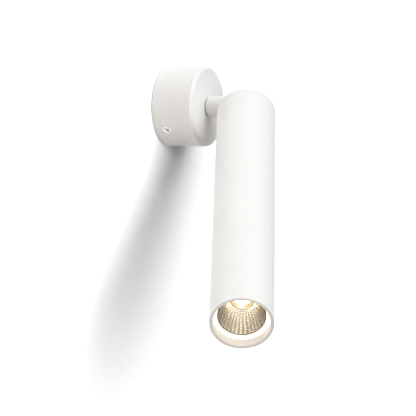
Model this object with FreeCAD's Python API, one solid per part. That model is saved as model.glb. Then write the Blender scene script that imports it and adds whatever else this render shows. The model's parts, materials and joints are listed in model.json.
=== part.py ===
import FreeCAD, Part
import math
import os

# A wall spotlight: a round canopy screwed to a wall bracket, a hollow stem that
# swivels in the canopy's face, a knuckle that tilts, and a long round tube that
# holds a driver, a finned heat sink, a light-emitting board and a faceted reflector.
# Lengths are in millimetres and angles in degrees. The wall is the plane y = 0, the
# lamp stands out of it along -Y, +Z is up, and the origin is the centre of the
# canopy's back.

V = FreeCAD.Vector

# Driving dimensions of the canopy
canopy_r = 35.0
canopy_depth = 38.5
canopy_wall = 2.5
canopy_front = 3.0
canopy_chamfer = 2.4

# Driving dimensions of the swivel stem and the knuckle
stem_r = 8.75
neck_r = 6.0
wire_r = 3.5
pivot_reach = 36.0
swivel_limit = 165.0
rest_tilt = 71.0

# Driving dimensions of the tube
tube_r = 25.0
tube_wall = 2.5
tube_length = 285.0
cap_t = 7.0

# Driving dimensions of the light: recess is from the mouth to the front ring
recess = 8.5
ring_ledge = 3.0
reflector_depth = 20.0
reflector_wall = 0.8
reflector_columns = 36
reflector_rows = 11
emitter_r = 8.0

# Clearances: turning fits, slid-in pieces, threads and pressed fits, countersunk heads, and moving bodies
running = 0.05
slip = 0.1
fixed_fit = 0.02
sink_gap = 0.25
apart = 0.3
overrun = 1.0

# Edge breaks that the light catches
edge_break = 0.4

# Metric screws: shank radius and countersunk head radius
m5_r = 2.5
m4_r = 2.0
m4_head_r = 4.0
m3_r = 1.5
m3_head_r = 2.8
m25_r = 1.25
m25_head_r = 2.1
m2_r = 1.0
m2_head_r = 1.8
head_rim = 0.2
head_sink = 0.1

# A screw's drive, as shares of its head radius: arm length, half width and depth
recess_arm_share = 0.58
recess_width_share = 0.13
recess_depth_share = 0.36
# A pan head's height and a hexagon socket's radius, as shares of the head radius
pan_height_share = 0.6
socket_share = 0.52

# Places that several pieces share, measured out from the wall
canopy_in_r = canopy_r - canopy_wall
front_in = canopy_depth - canopy_front
pivot_out = canopy_depth + pivot_reach
tube_in_r = tube_r - tube_wall

# Places along the tube, measured from the tilt axis, with the tube's mouth lowest
cap_top_z = -(stem_r + apart)
cap_low_z = cap_top_z - cap_t
mouth_z = cap_top_z - tube_length


# Shape helpers
def rod(r, low, high, x=0.0, y=0.0):
    return Part.makeCylinder(r, high - low, V(x, y, low), V(0, 0, 1))


def rod_x(r, low, high, y=0.0, z=0.0):
    return Part.makeCylinder(r, high - low, V(low, y, z), V(1, 0, 0))


def ring(r_out, r_in, low, high):
    return rod(r_out, low, high).cut(rod(r_in, low - overrun, high + overrun))


def block(x, y, z):
    """A box between the pairs x, y and z."""
    return Part.makeBox(x[1] - x[0], y[1] - y[0], z[1] - z[0], V(x[0], y[0], z[0]))


def wire_of(points, plane):
    """A closed wire: a point is straight to it, and a pair is an arc through the first to the second."""
    edges = []
    last = plane(*points[0])
    for step in points[1:] + points[:1]:
        if isinstance(step[0], tuple):
            middle, end = plane(*step[0]), plane(*step[1])
            edges.append(Part.Arc(last, middle, end).toShape())
        else:
            end = plane(*step)
            edges.append(Part.LineSegment(last, end).toShape())
        last = end
    return Part.Wire(edges)


def turned(points):
    """A solid turned about Z from an outline of radius and height."""
    face = Part.Face(wire_of(points, lambda r, z: V(r, 0, z)))
    return face.revolve(V(0, 0, 0), V(0, 0, 1), 360)


def pushed_x(points, low, high):
    """A solid pushed along X from an outline in y and z."""
    face = Part.Face(wire_of(points, lambda y, z: V(low, y, z)))
    return face.extrude(V(high - low, 0, 0))


def corner(centre, r, angle):
    """The point at an angle on an arc's circle, in the outline's own plane."""
    a = math.radians(angle)
    return (centre[0] + r * math.cos(a), centre[1] + r * math.sin(a))


def hexagon(r_flat, low, high):
    r = r_flat / math.cos(math.radians(30))
    points = [V(*corner((0, 0), r, 60 * i), low) for i in range(6)]
    return Part.Face(Part.makePolygon(points + points[:1])).extrude(V(0, 0, high - low))


def union(shapes):
    return shapes[0].multiFuse(shapes[1:]).removeSplitter()


def turn(shape, axis, angle):
    made = shape.copy()
    made.rotate(V(0, 0, 0), axis, angle)
    return made


def move(shape, x, y, z):
    made = shape.copy()
    made.translate(V(x, y, z))
    return made


def on_wall(shape):
    """From canopy space, where Z is the distance out from the wall and Y is up."""
    return turn(shape, V(1, 0, 0), 90)


def on_head(shape):
    """From tube space, where the tube hangs down -Z from the tilt axis and +Y is its wall side."""
    return move(turn(shape, V(1, 0, 0), rest_tilt - 90), 0, -pivot_out, 0)


# Screws lie on Z with the top of the head at zero
def cross_recess(head_r):
    arm, half, deep = (s * head_r for s in (recess_arm_share, recess_width_share, recess_depth_share))
    one = block((-arm, arm), (-half, half), (-deep, overrun))
    return one.fuse(turn(one, V(0, 0, 1), 90))


def countersunk(r, head_r, length):
    low = -head_rim - (head_r - r)
    body = turned([(0, 0), (head_r, 0), (head_r, -head_rim), (r, low), (r, -length), (0, -length)])
    return body.cut(cross_recess(head_r))


def countersink(r, head_r, length):
    """The cut that a countersunk screw sits in, open past the surface above it."""
    low = -head_rim - (head_r - r)
    wide, narrow = head_r + sink_gap, r + slip
    outline = [(0, overrun), (wide, overrun), (wide, -head_rim), (narrow, low)]
    return turned(outline + [(narrow, -length), (0, -length)])


def pan_screw(r, head_r, length):
    """The head stands on zero and the shank goes down from it."""
    high = head_r * pan_height_share
    dome = turned([(0, 0), (head_r, 0), (corner((0, 0), head_r, 22), (0, high))])
    return dome.fuse(rod(r, -length, 0)).cut(move(cross_recess(head_r), 0, 0, high))


def radial(shape, r, angle, height):
    """Puts a Z screw on the side of a round wall of radius r, pointing in at an angle from +X."""
    return turn(move(turn(shape, V(0, 1, 0), 90), r, 0, height), V(0, 0, 1), angle)


def head_seat(r, head_r):
    """How far out a flat head can stand on a round surface with its whole edge sunk."""
    return math.sqrt(r ** 2 - head_r ** 2) - head_sink


# Wall bracket: a pressed steel plate with two bent ears, in canopy space
plate_t = 1.5
plate_gap = 0.8
plate_r = canopy_in_r - plate_gap
bend_r = 1.0
ear_half = 6.0
ear_gap = 0.4
ear_out = math.sqrt(canopy_in_r ** 2 - ear_half ** 2) - ear_gap
ear_in = ear_out - plate_t
screw_out = 11.7
slot_r = 2.4
slot_half = 4.5
slot_edge = 5.2
slot_x = plate_r - slot_edge - slot_half
grommet_r = 5.25
nut_pilot_r = 2.7
nut_r = 3.75
nut_l = 3.0
nut_in = ear_in - nut_l
canopy_screw_tip = 1.0


def wall_bracket():
    bend_out = bend_r + plate_t
    flat = ear_out - bend_out
    plate = rod(plate_r, 0, plate_t).common(block((-plate_r, plate_r), (-flat, flat), (0, plate_t)))
    centre = (flat, bend_out)
    lip = [
        (flat - bend_out, 0),
        (flat, 0),
        (corner(centre, bend_out, -45), (ear_out, bend_out)),
        (ear_out, screw_out + ear_half),
        (ear_in, screw_out + ear_half),
        (ear_in, bend_out),
        (corner(centre, bend_r, -45), (flat, plate_t)),
        (flat - bend_out, plate_t),
    ]
    ear = pushed_x(lip, -ear_half, ear_half)
    tip = Part.makeCylinder(ear_half, ear_out, V(0, 0, screw_out), V(0, 1, 0))
    ear = ear.common(tip.fuse(block((-ear_half, ear_half), (0, ear_out), (0, screw_out))))
    ear = ear.cut(Part.makeCylinder(nut_pilot_r, ear_out + overrun, V(0, 0, screw_out), V(0, 1, 0)))
    whole = union([plate, ear, turn(ear, V(0, 0, 1), 180)])
    straight = slot_half - slot_r
    for side in (-1, 1):
        x = side * slot_x
        slot = block((x - straight, x + straight), (-slot_r, slot_r), (-overrun, plate_t + overrun))
        for end in (x - straight, x + straight):
            slot = slot.fuse(rod(slot_r, -overrun, plate_t + overrun, end))
        whole = whole.cut(slot)
    whole = whole.cut(rod(grommet_r + fixed_fit, -overrun, plate_t + overrun))
    for r, place in ((m2_r, terminal_hole), (m3_r, earth_place)):
        whole = whole.cut(rod(r + fixed_fit, -overrun, plate_t + overrun, *place))
    return whole.removeSplitter()


def bracket_nuts():
    nut = ring(nut_r, m4_r + fixed_fit, 0, nut_l)
    pilot = ring(nut_pilot_r - fixed_fit, m4_r + fixed_fit, nut_l, nut_l + plate_t)
    nut = nut.fuse(pilot).removeSplitter()
    up = move(turn(nut, V(1, 0, 0), -90), 0, nut_in, screw_out)
    return [up, turn(up, V(0, 0, 1), 180)]


# Cable grommet in the plate's middle
grommet_bore_r = 3.5
grommet_flange_r = 6.25
grommet_flange_t = 1.5


def cable_grommet():
    top = plate_t + grommet_flange_t
    round_r = grommet_flange_t / 2
    centre = (grommet_flange_r - round_r, plate_t + round_r)
    return turned([
        (grommet_bore_r, 0),
        (grommet_r, 0),
        (grommet_r, plate_t),
        (centre[0], plate_t),
        ((grommet_flange_r, centre[1]), (centre[0], top)),
        (grommet_bore_r + edge_break, top),
        (grommet_bore_r, top - edge_break),
    ])


# Terminal block, with three brass inserts and six clamp screws
terminal_half = 13.0
terminal_high = 13.0
terminal_base = 7.0
terminal_out = 13.0
terminal_gap = 1.0
tower_half = 2.3
pole_pitch = 8.4
insert_half = 1.6
wire_hole_r = 1.1
clamp_r = 1.0
clamp_spread = 3.4
terminal_top = nut_in - terminal_gap
terminal_y = terminal_top - terminal_high / 2
terminal_hole = (pole_pitch / 2, terminal_y)
insert_out = plate_t + terminal_base / 2


def pole_places():
    return [pole_pitch * i for i in (-1, 0, 1)]


def terminal_block():
    y = (terminal_y - terminal_high / 2, terminal_y + terminal_high / 2)
    base = block((-terminal_half, terminal_half), y, (plate_t, plate_t + terminal_base))
    inner = (y[0] + edge_break, y[1] - edge_break)
    pieces = [base]
    for x in pole_places():
        pieces.append(block((x - tower_half, x + tower_half), inner, (plate_t, plate_t + terminal_out)))
    body = union(pieces)
    half = insert_half + fixed_fit
    for x in pole_places():
        tunnel = (insert_out - half, insert_out + half)
        body = body.cut(block((x - half, x + half), (y[0] - overrun, y[1] + overrun), tunnel))
        for side in (-1, 1):
            shaft = rod(clamp_r + slip, insert_out, plate_t + terminal_out + overrun, x,
                        terminal_y + side * clamp_spread)
            body = body.cut(shaft)
    x, y = terminal_hole
    return body.cut(rod(m2_r + slip, 0, plate_t + terminal_base + overrun, x, y))


def terminal_inserts():
    made = []
    for x in pole_places():
        y = (terminal_y - terminal_high / 2, terminal_y + terminal_high / 2)
        z = (insert_out - insert_half, insert_out + insert_half)
        insert = block((x - insert_half, x + insert_half), y, z)
        bore = Part.makeCylinder(wire_hole_r, terminal_high + 2 * overrun,
                                 V(x, y[0] - overrun, insert_out), V(0, 1, 0))
        insert = insert.cut(bore)
        for side in (-1, 1):
            hole = rod(clamp_r + fixed_fit, insert_out, z[1] + overrun, x, terminal_y + side * clamp_spread)
            insert = insert.cut(hole)
        made.append(insert)
    return made


def terminal_screws():
    low = insert_out + wire_hole_r
    high = plate_t + terminal_out - edge_break
    slot = block((-clamp_r * 2, clamp_r * 2), (-clamp_r / 6, clamp_r / 6), (high - clamp_r / 2, high + overrun))
    one = rod(clamp_r, low, high).cut(slot)
    return [move(one, x, terminal_y + side * clamp_spread, 0) for x in pole_places() for side in (-1, 1)]


def terminal_fixing():
    x, y = terminal_hole
    screw = pan_screw(m2_r, m2_head_r, terminal_base + plate_t / 2)
    return move(screw, x, y, plate_t + terminal_base)


# Earth screw and its ring tag, below the cable hole
earth_place = (0.0, -(grommet_flange_r + 2 * m4_head_r))
tag_t = 0.8
tag_r = 4.0
barrel_r = 1.6
barrel_l = 7.0


def earth_tag():
    x, y = earth_place
    reach = tag_r + barrel_l
    flat = rod(tag_r, 0, tag_t).fuse(block((0, reach - barrel_l / 2), (-barrel_r, barrel_r), (0, tag_t)))
    tube = rod_x(barrel_r, tag_r, reach, 0, barrel_r).cut(
        rod_x(barrel_r - tag_t / 2, tag_r - overrun, reach + overrun, 0, barrel_r))
    tag = union([flat.cut(rod_x(barrel_r - tag_t / 2, tag_r, reach + overrun, 0, barrel_r)), tube])
    return move(tag.cut(rod(m3_r + slip, -overrun, tag_t + overrun)), x, y, plate_t)


def earth_screw():
    return move(pan_screw(m3_r, m3_head_r, tag_t + plate_t / 2), *earth_place, plate_t + tag_t)


# Canopy housing: a turned cup that the two countersunk screws hold on the bracket
bush_wall = 1.0
bush_r = neck_r + running + bush_wall
canopy_bore_r = bush_r + fixed_fit
inner_round = 1.5
canopy_screw_seat = head_seat(canopy_r, m4_head_r)
canopy_screw_l = canopy_screw_seat - nut_in + canopy_screw_tip


def canopy_housing():
    centre = (canopy_in_r - inner_round, front_in - inner_round)
    cup = turned([
        (canopy_in_r, 0),
        (canopy_r - edge_break, 0),
        (canopy_r, edge_break),
        (canopy_r, canopy_depth - canopy_chamfer),
        (canopy_r - canopy_chamfer, canopy_depth),
        (canopy_bore_r, canopy_depth),
        (canopy_bore_r, front_in),
        (centre[0], front_in),
        (corner(centre, inner_round, 45), (canopy_in_r, centre[1])),
    ])
    cut = countersink(m4_r, m4_head_r, canopy_wall + 2 * overrun)
    for angle in (90, 270):
        cup = cup.cut(radial(cut, canopy_screw_seat, angle, screw_out))
    pin_hole = rod(pin_r + fixed_fit, front_in - overrun, front_in + pin_sunk, 0, pin_orbit)
    return cup.cut(pin_hole)


def canopy_screws():
    screw = countersunk(m4_r, m4_head_r, canopy_screw_l)
    return [radial(screw, canopy_screw_seat, angle, screw_out) for angle in (90, 270)]


# Swivel bearing in the canopy's face, from the outside in
flange_t = 0.6
flange_inset = 0.6
thrust_t = 0.8
washer_rim = 3.0
stop_t = 1.5
stop_rim = 3.5
spring_t = 0.6
spring_high = 1.3
nut_t = 5.0
nut_flat = 2.1
neck_spare = 1.5
key_depth = 0.7
pin_r = 1.5
pin_gap = 1.5
pin_sunk = 1.5
pin_orbit = neck_r + stop_rim + pin_gap + pin_r
shoulder_out = canopy_depth + flange_t + running
thrust_low = front_in - thrust_t
stop_high = thrust_low - running
stop_low = stop_high - stop_t
spring_low = stop_low - spring_high
nut_low = spring_low - nut_t
neck_low = nut_low - neck_spare


def stem_bush():
    barrel = ring(bush_r, neck_r + running, front_in, canopy_depth)
    flange = ring(stem_r - flange_inset, neck_r + running, canopy_depth, canopy_depth + flange_t)
    return barrel.fuse(flange).removeSplitter()


def thrust_washer():
    return ring(neck_r + washer_rim, neck_r + running, thrust_low, front_in)


def stop_pin():
    """A pin at twelve o'clock that the ring's tab meets at each end of the swivel."""
    low = stop_low - pin_r / 2
    return rod(pin_r, low, front_in + pin_sunk, 0, pin_orbit)


def keyed_bore(clear, low, high):
    """The neck's section with its two flats, for the ring that turns with it."""
    flat = neck_r - key_depth + clear
    return rod(neck_r + clear, low, high).common(block((-flat, flat), (-2 * neck_r, 2 * neck_r), (low, high)))


def stop_ring():
    """A ring keyed to the neck, cut back to its hub wherever the pin sweeps, which leaves its tab."""
    low, high = stop_low - overrun, stop_high + overrun
    tab_r = pin_orbit + pin_r
    sweep = swivel_limit + math.degrees(math.asin(pin_r / pin_orbit) + apart / pin_orbit)
    disc = rod(tab_r, stop_low, stop_high)
    for start in (90, 90 - sweep):
        swept = Part.makeCylinder(tab_r + overrun, high - low, V(0, 0, low), V(0, 0, 1), sweep)
        disc = disc.cut(turn(swept, V(0, 0, 1), start).cut(rod(neck_r + stop_rim, low, high)))
    return disc.removeSplitter().cut(keyed_bore(slip, low, high))


def disc_spring():
    """A coned spring washer that keeps the swivel stiff."""
    r_in, r_out = neck_r + slip, neck_r + washer_rim
    return turned([
        (r_in, stop_low - spring_t),
        (r_in, stop_low),
        (r_out, spring_low + spring_t),
        (r_out, spring_low),
    ])


def lock_nut():
    body = hexagon(neck_r + nut_flat, nut_low, spring_low)
    round_r = (neck_r + nut_flat) / math.cos(math.radians(30))
    drop = round_r - neck_r - nut_flat
    bevel = turned([
        (0, nut_low),
        (round_r - drop, nut_low),
        (round_r, nut_low + drop / 2),
        (round_r, spring_low - drop / 2),
        (round_r - drop, spring_low),
        (0, spring_low),
    ])
    return body.common(bevel).cut(rod(neck_r + fixed_fit, nut_low - overrun, spring_low + overrun))


# Knuckle: two cheeks on the stem turn between two ears on the tube's cap
slit_half = 1.8
tongue_half = 4.6
tilt_washer_t = 0.45
tilt_washer_r = 6.0
fork_half = tongue_half + running + tilt_washer_t
pivot_r = m5_r
pivot_head_r = 3.8
pivot_head_t = 1.2
slit_reach = 1.6 * stem_r


def knuckle_outline(low):
    """A round end about the tilt axis on a straight run down to low, across X."""
    points = [
        (-stem_r, low),
        (stem_r, low),
        (stem_r, 0),
        ((0, stem_r), (-stem_r, 0)),
    ]
    return pushed_x(points, -stem_r, stem_r)


def swivel_stem():
    """Turned in canopy space: threaded neck, round body, and two cheeks for the knuckle."""
    body = turned([
        (0, neck_low),
        (neck_r - edge_break, neck_low),
        (neck_r, neck_low + edge_break),
        (neck_r, shoulder_out),
        (stem_r - edge_break, shoulder_out),
        (stem_r, shoulder_out + edge_break),
        (stem_r, pivot_out + stem_r),
        (0, pivot_out + stem_r),
    ])
    body = body.common(move(knuckle_outline(neck_low - pivot_out), 0, 0, pivot_out))
    root = pivot_out - stem_r - apart
    for side in (-1, 1):
        x = sorted((side * tongue_half, side * (stem_r + overrun)))
        body = body.cut(block(x, (-2 * stem_r, 2 * stem_r), (root, pivot_out + 2 * stem_r)))
    slit = (pivot_out - slit_reach, pivot_out + 2 * stem_r)
    body = body.cut(block((-slit_half, slit_half), (-2 * stem_r, 2 * stem_r), slit))
    body = body.cut(rod(wire_r, neck_low - overrun, root - edge_break))
    for side in (-1, 1):
        flat = sorted((side * (neck_r - key_depth), side * 2 * neck_r))
        body = body.cut(block(flat, (-2 * neck_r, 2 * neck_r), (neck_low - overrun, thrust_low)))
    return body.cut(rod_x(pivot_r + running, -2 * stem_r, 2 * stem_r, 0, pivot_out)).removeSplitter()


# Top cap of the tube, with the knuckle's ears, in tube space
foot_screw_x = 6.0
foot_gap = 1.0
seal_r = 4.4
seal_bore_r = 2.6
seal_flange_r = 5.6
seal_flange_t = 1.0
driver_half = 14.0
driver_high = 23.0
driver_l = 110.0
driver_gap = 1.5
strip_t = 1.2
strip_half = 10.0
strip_y = math.sqrt((tube_in_r - driver_gap) ** 2 - driver_half ** 2)
foot_low_y = seal_flange_r + foot_gap
foot_screw_y = (foot_low_y + strip_y) / 2
side_screw_l = 7.0
side_angles = (0, 90)
side_seat = head_seat(tube_r, m3_head_r)
cap_screw_z = (cap_top_z + cap_low_z) / 2


def ear_head_x():
    """The outer face of a pivot screw's head, sunk below the ear's round side."""
    return math.sqrt(stem_r ** 2 - pivot_head_r ** 2) - head_sink


def top_cap():
    r = tube_in_r - slip
    disc = turned([
        (0, cap_low_z),
        (r, cap_low_z),
        (r, cap_top_z - edge_break),
        (r - edge_break, cap_top_z),
        (0, cap_top_z),
    ])
    barrel = rod(stem_r, cap_low_z + edge_break, stem_r)
    ears = barrel.common(knuckle_outline(cap_low_z))
    high = (cap_top_z, 2 * stem_r)
    ears = ears.cut(block((-fork_half, fork_half), (-2 * stem_r, 2 * stem_r), high))
    cap = union([disc, ears])
    cap = cap.cut(rod_x(pivot_r + fixed_fit, -2 * stem_r, 2 * stem_r))
    inner = ear_head_x() - pivot_head_t
    for side in (-1, 1):
        x = sorted((side * inner, side * 2 * stem_r))
        cap = cap.cut(rod_x(pivot_head_r + slip, *x))
    cap = cap.cut(rod(seal_r + fixed_fit, cap_low_z - overrun, cap_top_z + overrun))
    for side in (-1, 1):
        hole = rod(m3_r + fixed_fit, cap_low_z - overrun, cap_low_z + cap_t / 2, side * foot_screw_x, foot_screw_y)
        cap = cap.cut(hole)
    for angle in side_angles:
        hole = turn(rod_x(m3_r + fixed_fit, side_seat - side_screw_l - edge_break, tube_r, 0, cap_screw_z),
                    V(0, 0, 1), angle)
        cap = cap.cut(hole)
    return cap.removeSplitter()


def pivot_screws():
    """Shoulder screws fixed in the ears: the stem's cheeks turn on their plain ends."""
    out = ear_head_x()
    inner = slit_half + head_sink
    shank = rod_x(pivot_r, inner, out - pivot_head_t)
    head = rod_x(pivot_head_r, out - pivot_head_t, out)
    socket = turn(hexagon(pivot_r * socket_share, 0, 2 * pivot_r), V(0, 1, 0), 90)
    screw = shank.fuse(head).cut(move(socket, out - pivot_head_t, 0, 0)).removeSplitter()
    return [screw, turn(screw, V(0, 0, 1), 180)]


def tilt_washers():
    washer = rod_x(tilt_washer_r, fork_half - tilt_washer_t, fork_half)
    washer = washer.cut(rod_x(pivot_r + slip, 0, stem_r))
    return [washer, turn(washer, V(0, 0, 1), 180)]


def wire_seal():
    """A rubber sleeve round the wires where they leave the knuckle."""
    body = ring(seal_r, seal_bore_r, cap_low_z, cap_top_z - edge_break)
    flange = ring(seal_flange_r, seal_bore_r, cap_low_z - seal_flange_t, cap_low_z)
    return body.fuse(flange).removeSplitter()


def side_screws(height):
    """Countersunk screws through the tube's wall, round its wall side where they don't show."""
    screw = countersunk(m3_r, m3_head_r, side_screw_l)
    return [radial(screw, side_seat, angle, height) for angle in side_angles]


def cap_screws():
    return side_screws(cap_screw_z)


# Light end of the tube: front ring, reflector, holder, board and heat sink
ring_r = tube_in_r - slip
ring_in_r = tube_in_r - ring_ledge
ring_t = 1.5
ring_z = mouth_z + recess
skirt_t = 1.2
rib_z = 8.0
rib_half = 1.0
rib_high = 0.4
rim_inset = 0.5
rim_r = ring_in_r - apart
rim_t = 1.2
rim_z = ring_z + rim_inset
mouth_r = rim_r - rim_inset
base_r = emitter_r + 1.75
base_z = rim_z + reflector_depth
foot_high = 2.0
foot_wall = 2.65
holder_t = 3.2
holder_z = base_z + holder_t
holder_r = ring_r - skirt_t - apart
collar_t = 1.5
pad_t = 0.25
board_t = 1.0
board_half = emitter_r + 2.0
emitter_t = 0.7
sink_face = 9.0
sink_screw_rise = 6.5
sink_top = 52.8
sink_core_r = 8.0
fin_t = 1.6
fin_count = 12
lead_r = 0.75
lead_x = 1.3
lead_y = board_half + 3.5
lead_hole_r = 2.2


def tube_housing():
    """The tube, with a groove inside its mouth that the front ring snaps into."""
    rib_mid = ring_z + rib_z
    groove_r = ring_r + rib_high + 2 * slip
    tube = turned([
        (tube_in_r, mouth_z + edge_break),
        (tube_in_r + edge_break, mouth_z),
        (tube_r - edge_break, mouth_z),
        (tube_r, mouth_z + edge_break),
        (tube_r, cap_top_z - edge_break),
        (tube_r - edge_break, cap_top_z),
        (tube_in_r, cap_top_z),
    ])
    groove = ring(groove_r, tube_in_r - overrun, rib_mid - rib_half - 2 * slip, rib_mid + rib_half + 2 * slip)
    tube = tube.cut(groove)
    cut = countersink(m3_r, m3_head_r, tube_wall + 2 * overrun)
    for height in (cap_screw_z, sink_screw_z()):
        for angle in side_angles:
            tube = tube.cut(radial(cut, side_seat, angle, height))
    return tube


def front_ring():
    """A white ring set back in the mouth, on a sleeve that reaches up to the heat sink."""
    skirt_r = ring_r - skirt_t
    middle = ring_z + rib_z
    return turned([
        (ring_in_r, ring_z + edge_break),
        (ring_in_r + edge_break, ring_z),
        (ring_r, ring_z),
        (ring_r, middle - rib_half),
        ((ring_r + rib_high, middle), (ring_r, middle + rib_half)),
        (ring_r, holder_z),
        (skirt_r, holder_z),
        (skirt_r, ring_z + ring_t),
        (ring_in_r, ring_z + ring_t),
    ])


def bowl_r(height):
    """The reflector's inside radius at a height above its rim: a parabola open at the rim."""
    share = (reflector_depth - height) / reflector_depth
    return math.sqrt(base_r ** 2 + (mouth_r ** 2 - base_r ** 2) * share)


def bowl():
    """The faceted inside of the reflector, run out straight past both ends."""
    heights = [reflector_depth * i / reflector_rows for i in range(reflector_rows + 1)]
    levels = [(rim_z - overrun, mouth_r)]
    levels += [(rim_z + h, bowl_r(h)) for h in heights]
    levels += [(base_z + overrun, base_r)]
    step = 360 / reflector_columns
    rows = [[V(*corner((0, 0), r, step * i), z) for i in range(reflector_columns)] for z, r in levels]
    faces = [Part.Face(Part.makePolygon(row + row[:1])) for row in (rows[0], rows[-1])]
    for low, high in zip(rows, rows[1:]):
        for i in range(reflector_columns):
            j = (i + 1) % reflector_columns
            faces.append(Part.Face(Part.makePolygon([low[i], low[j], high[j], high[i], low[i]])))
    return Part.makeSolid(Part.makeShell(faces))


def reflector():
    """A turned shell with a foot and a rim, cut by the faceted bowl."""
    foot_r = base_r + foot_wall
    neck = reflector_depth - foot_high
    outer = [(rim_r, rim_z), (rim_r, rim_z + rim_t)]
    start = (bowl_r(rim_t) + reflector_wall, rim_z + rim_t)
    middle = (bowl_r(neck / 2) + reflector_wall, rim_z + neck / 2)
    end = (bowl_r(neck) + reflector_wall, rim_z + neck)
    outer += [start, (middle, end), (foot_r, end[1]), (foot_r, base_z), (0, base_z), (0, rim_z)]
    shell = turned(outer).cut(bowl())
    return shell.removeSplitter()


def holder_screw_x():
    """Midway between the collar round the reflector's foot and the holder's edge."""
    return (base_r + foot_wall + slip + collar_t + holder_r) / 2


def led_holder():
    """A moulded frame that clamps the board to the heat sink and centres the reflector's foot."""
    foot_r = base_r + foot_wall + slip
    body = rod(holder_r, base_z, holder_z)
    body = union([body, ring(foot_r + collar_t, foot_r, base_z - foot_high, base_z)])
    half = board_half + slip
    pocket = (holder_z - pad_t - board_t, holder_z + overrun)
    body = body.cut(block((-half, half), (-half, half), pocket))
    body = body.cut(rod(emitter_r + rim_inset, base_z - overrun, holder_z))
    cut = turn(countersink(m25_r, m25_head_r, holder_t + overrun), V(1, 0, 0), 180)
    for side in (-1, 1):
        body = body.cut(move(cut, side * holder_screw_x(), 0, base_z + head_sink))
        hole = rod(lead_r + slip, holder_z - 2 * holder_t / 3, holder_z + overrun, side * lead_x, lead_y)
        body = body.cut(hole)
    return body.removeSplitter()


def holder_screws():
    length = holder_t + sink_face / 3
    screw = turn(countersunk(m25_r, m25_head_r, length), V(1, 0, 0), 180)
    return [move(screw, side * holder_screw_x(), 0, base_z + head_sink) for side in (-1, 1)]


def board_level(down):
    """A square layer of the board's stack between two distances below the heat sink."""
    z = (holder_z - down[1], holder_z - down[0])
    return block((-board_half, board_half), (-board_half, board_half), z)


def thermal_pad():
    return board_level((0, pad_t))


def led_board():
    return board_level((pad_t, pad_t + board_t))


def led_emitter():
    """The round yellow light-emitting area, with a sloped edge."""
    top = holder_z - pad_t - board_t
    half = emitter_t / 2
    low = top - emitter_t
    return turned([(0, top), (emitter_r, top), (emitter_r, top - half), (emitter_r - half, low), (0, low)])


def sink_screw_z():
    return holder_z + sink_screw_rise


def heat_sink():
    """A thick face with radial fins on a solid core, drilled for the board's leads."""
    r = tube_in_r - slip
    top = holder_z + sink_top
    face = rod(r, holder_z, holder_z + sink_face)
    core = rod(sink_core_r, holder_z, top)
    step = 360 / fin_count
    fin = block((0, r + overrun), (-fin_t / 2, fin_t / 2), (holder_z, top))
    fins = [turn(fin, V(0, 0, 1), step * (i + 0.5)) for i in range(fin_count)]
    star = union([core] + fins).common(rod(r, holder_z, top))
    sink = union([face, star])
    sink = sink.cut(rod(lead_hole_r, holder_z - overrun, holder_z + sink_face + overrun, 0, lead_y))
    for side in (-1, 1):
        hole = rod(m25_r + fixed_fit, holder_z - overrun, holder_z + sink_face / 3 + edge_break,
                   side * holder_screw_x())
        sink = sink.cut(hole)
    for angle in side_angles:
        hole = rod_x(m3_r + fixed_fit, side_seat - side_screw_l - edge_break, tube_r, 0, sink_screw_z())
        sink = sink.cut(turn(hole, V(0, 0, 1), angle))
    return sink.removeSplitter()


def sink_screws():
    return side_screws(sink_screw_z())


# Driver: a two-part case with its board, hung from the cap on a bent steel strip
case_wall = 1.5
lid_lip = 1.0
rail_half = 1.0
rail_high = 1.5
driver_board_t = 1.6
board_end_gap = 1.0
transformer_half = 8.0
transformer_high = 14.0
transformer_l = 18.0
capacitor_r = 5.0
capacitor_l = 16.0
driver_terminal_half = 4.5
driver_terminal_high = 8.0
driver_terminal_l = 10.0
inlet_r = 3.0
strip_spare = 6.0
driver_screw_inset = 20.0
sink_end = holder_z + sink_top
driver_low = (sink_end + cap_low_z - driver_l) / 2
driver_top = driver_low + driver_l
driver_front = strip_y - driver_high
board_back = strip_y - case_wall - rail_high
board_front = board_back - driver_board_t
strip_low = driver_low - strip_spare


def driver_strip():
    """An L of sheet steel: the foot screws up to the cap and the long leg carries the driver."""
    outer = bend_r + strip_t
    centre = (strip_y + strip_t - outer, cap_low_z - outer)
    profile = [
        (foot_low_y, cap_low_z),
        (foot_low_y, cap_low_z - strip_t),
        (centre[0], cap_low_z - strip_t),
        (corner(centre, bend_r, 45), (strip_y, centre[1])),
        (strip_y, strip_low),
        (strip_y + strip_t, strip_low),
        (strip_y + strip_t, centre[1]),
        (corner(centre, outer, 45), (centre[0], cap_low_z)),
    ]
    strip = pushed_x(profile, -strip_half, strip_half)
    for side in (-1, 1):
        hole = rod(m3_r + slip, cap_low_z - 2 * strip_t, cap_low_z + overrun, side * foot_screw_x, foot_screw_y)
        strip = strip.cut(hole)
    for z in driver_screw_places():
        hole = Part.makeCylinder(m3_r + slip, 4 * strip_t, V(0, strip_y - strip_t, z), V(0, 1, 0))
        strip = strip.cut(hole)
    return strip


def strip_screws():
    screw = turn(pan_screw(m3_r, m3_head_r, strip_t + cap_t / 2 - edge_break), V(1, 0, 0), 180)
    return [move(screw, side * foot_screw_x, foot_screw_y, cap_low_z - strip_t) for side in (-1, 1)]


def driver_screw_places():
    return (driver_low + driver_screw_inset, driver_top - driver_screw_inset)


def driver_screws():
    screw = turn(pan_screw(m3_r, m3_head_r, strip_t + case_wall), V(1, 0, 0), -90)
    return [move(screw, 0, strip_y + strip_t, z) for z in driver_screw_places()]


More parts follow.
